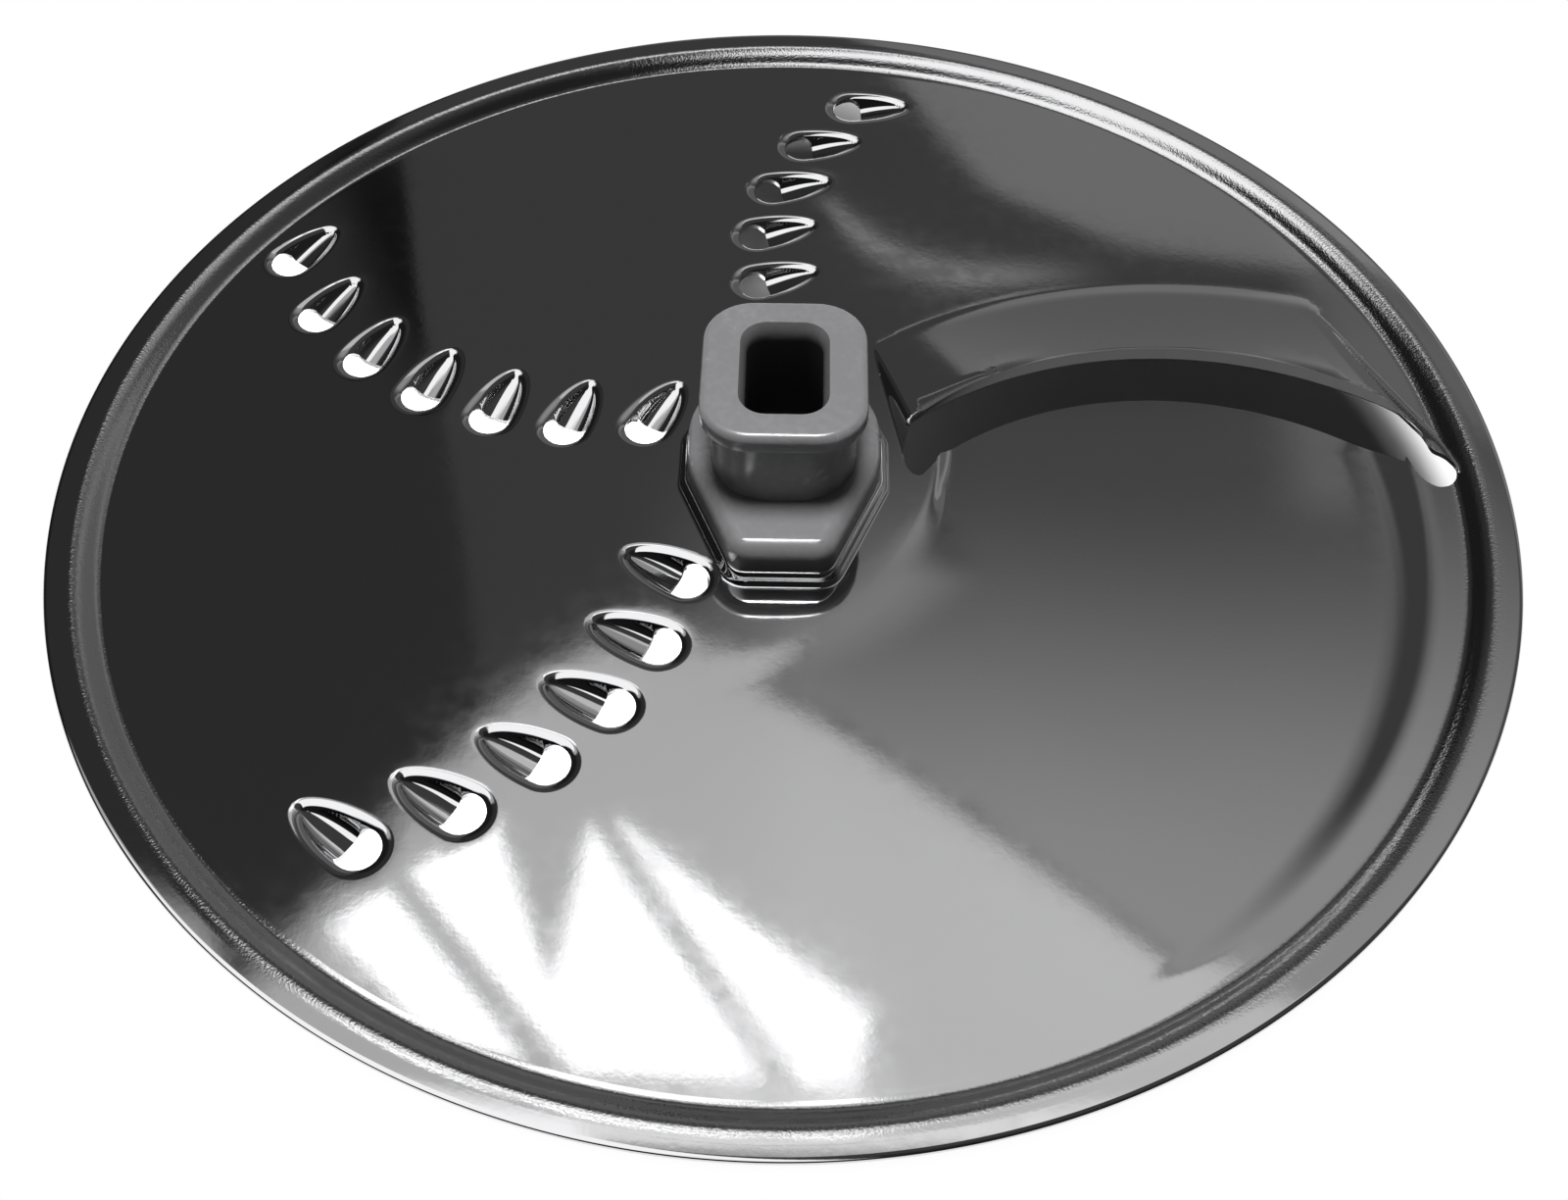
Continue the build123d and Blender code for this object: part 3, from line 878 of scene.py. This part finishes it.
class Wires:
    """Builds a chain of maths nodes, one call per step."""

    def __init__(self, tree):
        self.nodes, self.link = tree.nodes, tree.links.new

    def put(self, socket, value):
        """Sets a socket to a value, or links another socket to it."""
        if isinstance(value, bpy.types.NodeSocket):
            self.link(value, socket)
        else:
            socket.default_value = value

    def do(self, how, a, b=0.0):
        """One maths step on two values or sockets."""
        node = self.nodes.new("ShaderNodeMath")
        node.operation = how
        self.put(node.inputs[0], a)
        self.put(node.inputs[1], b)
        return node.outputs[0]

    def fade(self, value, lo, hi):
        """0 below lo and 1 above hi, or the other way round, with a soft change between."""
        node = self.nodes.new("ShaderNodeMapRange")
        node.interpolation_type = "SMOOTHSTEP"
        self.put(node.inputs["Value"], value)
        node.inputs["From Min"].default_value = min(lo, hi)
        node.inputs["From Max"].default_value = max(lo, hi)
        node.inputs["To Min"].default_value = 0.0 if lo < hi else 1.0
        node.inputs["To Max"].default_value = 1.0 if lo < hi else 0.0
        return node.outputs["Result"]

    def across(self, u, v, a, b):
        """How far left of the way from a to b a place on the ceiling lies, and how far left that line lies."""
        dx, dy = b[0] - a[0], b[1] - a[1]
        run = math.hypot(dx, dy)
        left = self.do("SUBTRACT", self.do("MULTIPLY", v, dx / run), self.do("MULTIPLY", u, dy / run))
        return left, (a[1] * dx - a[0] * dy) / run

    def side(self, u, v, a, b, soft):
        """1 to the left of the line from a to b on the ceiling, 0 to its right."""
        left, at = self.across(u, v, a, b)
        return self.fade(left, at - soft, at + soft)

    def zone(self, u, v, zone):
        """A tone inside a soft rectangle on the ceiling, 0 outside it."""
        in_u, in_v, tone = zone
        return self.all_of(*[self.fade(u, *p) for p in in_u], *[self.fade(v, *p) for p in in_v], tone)

    def hypot(self, a, b):
        """Length of the vector (a, b)."""
        return self.do("SQRT", self.do("ADD", self.do("MULTIPLY", a, a), self.do("MULTIPLY", b, b)))

    def less(self, value, mask, share):
        """A value with a share of it taken away where a mask is 1."""
        return self.do("MULTIPLY", value, self.do("SUBTRACT", 1.0, self.do("MULTIPLY", mask, share)))

    def all_of(self, *parts):
        """Product of masks and values."""
        out = parts[0]
        for part in parts[1:]:
            out = self.do("MULTIPLY", out, part)
        return out

    def blend(self, mask, a, b):
        """Colour a where a mask is 0, and b where it is 1."""
        node = self.nodes.new("ShaderNodeMix")
        node.data_type = "RGBA"
        for name, value in (("Factor", mask), ("A", a), ("B", b)):
            self.put(node.inputs[name], value)
        return node.outputs["Result"]

    def mask(self, name):
        """A mask stored on the mesh."""
        node = self.nodes.new("ShaderNodeAttribute")
        node.attribute_name = name
        return node.outputs["Fac"]

    def noise(self, scale, detail):
        """A noise on the piece's own coordinates."""
        place, node = self.nodes.new("ShaderNodeTexCoord"), self.nodes.new("ShaderNodeTexNoise")
        node.inputs["Scale"].default_value = scale
        node.inputs["Detail"].default_value = detail
        self.link(place.outputs["Object"], node.inputs["Vector"])
        return node.outputs["Fac"]

    def bar(self, u, v, a, b, width, soft):
        """1 off a glazing bar that runs along the line from a to b, 0 on it."""
        off = self.do("ABSOLUTE", self.do("SUBTRACT", *self.across(u, v, a, b)))
        return self.fade(off, width / 2 - soft, width / 2 + soft)


# The room that the steel mirrors. A place in it is (u, v), how far right and ahead on a ceiling at height 1.
LEFT_WALL = ((-0.212, 0.67), (-0.31, 1.06))
LEFT_WEDGE = ((-0.43, 1.27), (-0.29, 0.95))
FAR_WALL = ((0.1, 1.385), (0.166, 1.243), (0.28, 1.166), (0.423, 1.156))
BEAM = ((-0.082, 0.749), (0.039, 0.691), (0.128, 0.621), (0.268, 0.507))
ROW_EDGE = ((-0.076, 0.787), (-0.2, 0.69), (-0.3, 0.53))
WINDOW = (
    (-0.3, 0.51),
    (-0.222, 0.44),
    (-0.139, 0.416),
    (0.042, 0.405),
    (0.052, 0.462),
    (-0.112, 0.598),
    (-0.19, 0.6),
)
BARS = (((-0.114, 0.58), (-0.01, 0.42), 0.013), ((-0.258, 0.545), (-0.144, 0.42), 0.014))
MULLION = ((-0.199, 0.604), (-0.155, 0.485), (-0.15, 0.485), (-0.131, 0.604))
CEILING_SIDE = ((0.1, -0.3), (-0.12, 0.4))
# Soft rectangles of the room: limits in u, limits in v, and a tone.
FAR_LIFT = (((0.05, 0.2),), ((1.12, 1.04), (0.4, 0.5)), 0.02)
FAR_END = (((0.4, 0.46),), ((0.93, 0.99), (1.5, 1.16)), 0.07)
CEILING = (((-0.95, -0.75),), ((0.41, 0.385), (-0.5, -0.4)), 0.75)
CORNER = (((-0.345, -0.385), (-1.1, -0.9)), ((0.56, 0.48), (0.2, 0.36)), 0.3)
LEDGE = (((0.32, 0.16), (-0.5, -0.4)), ((0.42, 0.395), (0.366, 0.374)), 0.6)
ROOM_TONE = 0.051
LEFT_WALL_DROP = 0.021
FAR_TONE = 0.14
STREAK_TONE = 0.32
GLOW_TONE = 0.25
NEAR_TONES = (0.31, 0.17)
BEAM_WIDTH = 0.012
MULLION_SHADE = 0.86
LIGHT_TONE = 1.6
EDGE_SOFT = 0.012
PANE_SOFT = 0.004


def pairs(places):
    """Neighbouring places of a line, two by two."""
    return list(zip(places, places[1:]))


def dim_room(w, u, v, y):
    """The dark room, darker on its left, in a wedge there, behind the camera and far out to the left."""
    left = w.side(u, v, *LEFT_WALL, PANE_SOFT)
    wedge = w.all_of(left, w.side(u, v, *LEFT_WEDGE, 0.03), w.fade(v, 0.9, 1.1), w.fade(v, 1.5, 1.2))
    room = w.do("SUBTRACT", ROOM_TONE, w.do("MULTIPLY", left, LEFT_WALL_DROP))
    for mask, share in ((wedge, 0.75), (w.fade(y, 0.05, -0.25), 0.7), (w.fade(u, -0.6, -1.2), 0.6)):
        room = w.less(room, mask, share)
    return room


def far_light(w, u, v, y):
    """The paler far wall, the light over its right end, and the bright streak along its foot."""
    walls = [w.side(u, v, a, b, EDGE_SOFT) for a, b in pairs(FAR_WALL)]
    tone = w.do("SUBTRACT", FAR_TONE, w.do("MULTIPLY", w.fade(v, 1.4, 1.7), FAR_TONE / 2))
    far = w.all_of(*walls, w.fade(y, 0.1, 0.3), tone)
    bend = w.do("MAXIMUM", w.do("SUBTRACT", 1.0, w.do("MULTIPLY", u, 5.0)), 0.0)
    foot = w.do("ADD", 1.122, w.do("MULTIPLY", w.do("POWER", bend, 3.0), 0.14))
    over = w.do("SUBTRACT", v, foot)
    streak = w.all_of(w.fade(over, -0.008, 0.004), w.fade(over, 0.034, 0.0), STREAK_TONE)
    streak = w.all_of(streak, w.fade(u, -0.01, 0.05), w.fade(u, 0.28, 0.12))
    return w.do("ADD", far, w.do("ADD", w.zone(u, v, FAR_END), w.do("ADD", streak, w.zone(u, v, FAR_LIFT))))


def ceiling_glow(w, u, v):
    """The lit ceiling: a slow glow on the right, and a stronger one this side of the beam."""
    near = [w.side(u, v, b, a, EDGE_SOFT) for a, b in pairs(BEAM)]
    near += [w.side(u, v, a, b, 0.018) for a, b in pairs(ROW_EDGE)]
    tone = w.do("ADD", NEAR_TONES[0], w.do("MULTIPLY", w.fade(u, 0.0, -0.14), NEAR_TONES[1]))
    slow = w.all_of(w.fade(v, 1.02, 0.54), w.fade(u, -0.14, 0.02), GLOW_TONE)
    glow = w.all_of(w.do("ADD", slow, w.all_of(*near, tone)), w.fade(u, 1.0, 0.4), w.fade(v, 0.33, 0.38))
    for a, b in pairs(BEAM):
        on = w.do("SUBTRACT", 1.0, w.bar(u, v, a, b, BEAM_WIDTH, EDGE_SOFT))
        ends = w.fade(u, a[0] - 0.012, a[0] + 0.004), w.fade(u, b[0] + 0.012, b[0] - 0.004)
        glow = w.less(glow, w.all_of(on, *ends), 0.5)
    return glow


def window_light(w, u, v):
    """The window with its bars and mullion, the white ceiling overhead, and two paler patches."""
    panes = [w.side(u, v, a, b, PANE_SOFT) for a, b in pairs(WINDOW + WINDOW[:1])]
    panes += [w.bar(u, v, a, b, wide, PANE_SOFT) for a, b, wide in BARS]
    mullion = w.all_of(w.side(u, v, *MULLION[:2], 0.006), w.side(u, v, *MULLION[2:], 0.006))
    window = w.less(w.all_of(*panes), mullion, MULLION_SHADE)
    ceiling = w.do("MULTIPLY", w.zone(u, v, CEILING), w.side(u, v, *CEILING_SIDE, 0.015))
    patches = w.do("MAXIMUM", w.zone(u, v, CORNER), w.zone(u, v, LEDGE))
    return w.do("MULTIPLY", w.do("MAXIMUM", window, w.do("MAXIMUM", ceiling, patches)), LIGHT_TONE)


def steel_surroundings(w, x, y, z):
    """What the steel mirrors: a dim room, its window and lit ceiling, and the white floor's far edge."""
    high = w.do("MAXIMUM", z, 0.02)
    u, v = w.do("DIVIDE", x, high), w.do("DIVIDE", y, high)
    sky = w.do("ADD", dim_room(w, u, v, y), w.do("ADD", far_light(w, u, v, y), ceiling_glow(w, u, v)))
    sky = w.do("MAXIMUM", sky, window_light(w, u, v))
    return w.do("MAXIMUM", w.all_of(sky, w.fade(z, 0.02, 0.08)), w.fade(z, 0.025, 0.005))


SOFT_TONE = 0.02
SOFT_OVERHEAD = 0.2


def studio_world(world):
    """White for the camera, a soft light from above for matt surfaces, and the room for the steel."""
    world.use_nodes = True
    tree = world.node_tree
    nodes, links = tree.nodes, tree.links
    nodes.clear()
    w = Wires(tree)
    place, split = nodes.new("ShaderNodeTexCoord"), nodes.new("ShaderNodeSeparateXYZ")
    links.new(place.outputs["Generated"], split.inputs[0])
    path = nodes.new("ShaderNodeLightPath")
    white, steel, soft = [nodes.new("ShaderNodeBackground") for _ in range(3)]
    white.inputs["Color"].default_value = (1, 1, 1, 1)
    overhead = w.do("MULTIPLY", w.fade(split.outputs["Z"], 0.6, 1.0), SOFT_OVERHEAD)
    links.new(w.do("ADD", SOFT_TONE, overhead), soft.inputs["Color"])
    links.new(steel_surroundings(w, *split.outputs), steel.inputs["Color"])
    glossy, camera = nodes.new("ShaderNodeMixShader"), nodes.new("ShaderNodeMixShader")
    first = w.do("LESS_THAN", path.outputs["Diffuse Depth"], 0.5)
    links.new(w.do("MULTIPLY", path.outputs["Is Glossy Ray"], first), glossy.inputs[0])
    links.new(soft.outputs[0], glossy.inputs[1])
    links.new(steel.outputs[0], glossy.inputs[2])
    links.new(path.outputs["Is Camera Ray"], camera.inputs[0])
    links.new(glossy.outputs[0], camera.inputs[1])
    links.new(white.outputs[0], camera.inputs[2])
    out = nodes.new("ShaderNodeOutputWorld")
    links.new(camera.outputs[0], out.inputs["Surface"])


# Places on the floor, in metres. The camera sees the disc's outline there shifted away from it.
OUTLINE_SHIFT = 0.016
OPEN_FLOOR = (0.086, 0.0975)
# The limits below bound a shadow painted into the floor's colour under the slot and round a patch under a row
# of teeth, and give the share of the colour kept there.
SLOT_PAINTED_SHADE_SIDE = (-0.012, -0.004)
SLOT_PAINTED_SHADE_REACH = (0.0935, 0.086)
ROW_PAINTED_SHADE_CENTRE = (-0.004, 0.072)
ROW_PAINTED_SHADE_REACH = (0.042, 0.022)
PAINTED_FLOOR_SHADE = 0.16


def floor_material(colour):
    """Pale floor that keeps the disc's shadow under it, has more shadow painted into its colour under the slot
    and under a row of teeth, and is the white background everywhere else.
    """
    mat, nodes, links, bsdf = principled("pale_floor")
    w = Wires(mat.node_tree)
    bsdf.inputs["Roughness"].default_value = 0.9
    bsdf.inputs["Specular IOR Level"].default_value = 0.1
    place, split = nodes.new("ShaderNodeTexCoord"), nodes.new("ShaderNodeSeparateXYZ")
    links.new(place.outputs["Object"], split.inputs[0])
    x, y = split.outputs["X"], split.outputs["Y"]
    open_floor = w.fade(w.hypot(x, w.do("SUBTRACT", y, OUTLINE_SHIFT)), *OPEN_FLOOR)
    patch = w.hypot(w.do("SUBTRACT", x, ROW_PAINTED_SHADE_CENTRE[0]), w.do("SUBTRACT", y, ROW_PAINTED_SHADE_CENTRE[1]))
    # Painted shadow: the floor's colour is darkened under the slot and round the patch under the row of teeth.
    painted_shade_under_slot = w.all_of(w.fade(x, *SLOT_PAINTED_SHADE_SIDE), w.fade(w.hypot(x, y), *SLOT_PAINTED_SHADE_REACH))
    dim = w.do("MAXIMUM", painted_shade_under_slot, w.fade(patch, *ROW_PAINTED_SHADE_REACH))
    links.new(w.blend(dim, colour, toned(colour, PAINTED_FLOOR_SHADE)), bsdf.inputs["Base Color"])
    path, glow, mix = [nodes.new("ShaderNode" + kind) for kind in ("LightPath", "Emission", "MixShader")]
    seen = w.do("MAXIMUM", path.outputs["Is Camera Ray"], path.outputs["Is Glossy Ray"])
    seen = w.do("MAXIMUM", seen, path.outputs["Is Transmission Ray"])
    links.new(w.do("MULTIPLY", seen, open_floor), mix.inputs[0])
    links.new(bsdf.outputs[0], mix.inputs[1])
    links.new(glow.outputs[0], mix.inputs[2])
    links.new(mix.outputs[0], nodes["Material Output"].inputs["Surface"])
    return mat


# Turns and rises of the lamps in degrees. A floor light is x, y, turn and length, in millimetres.
SUN_TURN = 100
SUN_SPREAD = 20
CEILING_RISE = 87
HUB_LIGHT_RISE = 84
FLOOR_LIGHTS = ((-45, 42, 152.6, 84), (-32, -25, 43.5, 74))
FLOOR_LIGHT_WIDTH = 20
FLOOR_LIGHT_Z = 14


def add_lamp(lamp, receiver):
    """Places a lamp that lights one piece only."""
    thing = bpy.data.objects.new(lamp.name, lamp)
    bpy.context.collection.objects.link(thing)
    lit = bpy.data.collections.new(lamp.name + "_receiver")
    lit.objects.link(receiver)
    thing.light_linking.receiver_collection = lit
    return thing


def sun(name, rise, strength, receiver):
    """A far soft lamp that lights one piece."""
    lamp = bpy.data.lights.new(name, "SUN")
    lamp.energy = strength
    lamp.angle = math.radians(SUN_SPREAD)
    a, e = math.radians(SUN_TURN), math.radians(rise)
    towards = Vector((-math.cos(a) * math.cos(e), -math.sin(a) * math.cos(e), -math.sin(e)))
    add_lamp(lamp, receiver).rotation_euler = towards.to_track_quat("-Z", "Y").to_euler()


class DISC_OT_set_stage(bpy.types.Operator):
    """Lays the floor, lights it and sets the camera as in the photograph"""

    bl_idname = "disc.set_stage"
    bl_label = "Set the stage"

    def execute(self, context):
        stage = context.scene.disc_stage
        deselect()
        bpy.ops.mesh.primitive_plane_add(size=6.0, location=(0, 0, 0))
        floor = context.object
        floor.name = "floor"
        floor.data.materials.append(floor_material(stage.floor))
        context.scene.world = bpy.data.worlds.new("studio")
        studio_world(context.scene.world)
        sun("ceiling_light", CEILING_RISE, stage.key_power, floor)
        hub = context.scene.objects.get("grey_hub")
        if hub:
            sun("hub_light", HUB_LIGHT_RISE, stage.key_power, hub)
        for i, (x, y, turn, run) in enumerate(FLOOR_LIGHTS):
            lamp = bpy.data.lights.new(f"floor_light_{i + 1}", "AREA")
            lamp.shape = "RECTANGLE"
            lamp.size, lamp.size_y = run * MM, FLOOR_LIGHT_WIDTH * MM
            lamp.energy = stage.floor_power
            thing = add_lamp(lamp, floor)
            thing.location = (x * MM, y * MM, FLOOR_LIGHT_Z * MM)
            thing.rotation_euler.z = math.radians(turn)
            thing.visible_camera = thing.visible_glossy = thing.visible_transmission = False
        eye = bpy.data.cameras.new("camera")
        eye.sensor_width = 36.0
        eye.lens = stage.lens
        eye.clip_start = 0.01
        camera = bpy.data.objects.new("camera", eye)
        context.collection.objects.link(camera)
        camera.matrix_world = camera_pose()
        context.scene.camera = camera
        context.scene.view_settings.view_transform = "Standard"
        return {"FINISHED"}


class DISC_PT_panel(bpy.types.Panel):
    """Lists the pieces and the stage"""

    bl_idname = "DISC_PT_panel"
    bl_label = "Food processor disc"
    bl_space_type = "VIEW_3D"
    bl_region_type = "UI"
    bl_category = "Disc"

    def draw(self, context):
        layout = self.layout
        for props in (context.scene.disc_finish, context.scene.disc_stage):
            for name in props.bl_rna.properties.keys():
                if name not in ("rna_type", "name"):
                    layout.prop(props, name)
        for op in OPERATORS:
            layout.operator(op.bl_idname)


OPERATORS = (DISC_OT_press_sheet, DISC_OT_mould_hub, DISC_OT_set_stage)
CLASSES = (DiscFinish, DiscStage) + OPERATORS + (DISC_PT_panel,)


def register():
    """Registers the classes and hangs the settings on the scene."""
    for cls in CLASSES:
        bpy.utils.register_class(cls)
    bpy.types.Scene.disc_finish = bpy.props.PointerProperty(type=DiscFinish)
    bpy.types.Scene.disc_stage = bpy.props.PointerProperty(type=DiscStage)


def unregister():
    """Takes the settings and the classes away."""
    del bpy.types.Scene.disc_stage
    del bpy.types.Scene.disc_finish
    for cls in reversed(CLASSES):
        bpy.utils.unregister_class(cls)


def main():
    """Builds the pieces and the stage."""
    register()
    bpy.ops.disc.press_sheet()
    bpy.ops.disc.mould_hub()
    bpy.ops.disc.set_stage()


if __name__ == "__main__":
    main()
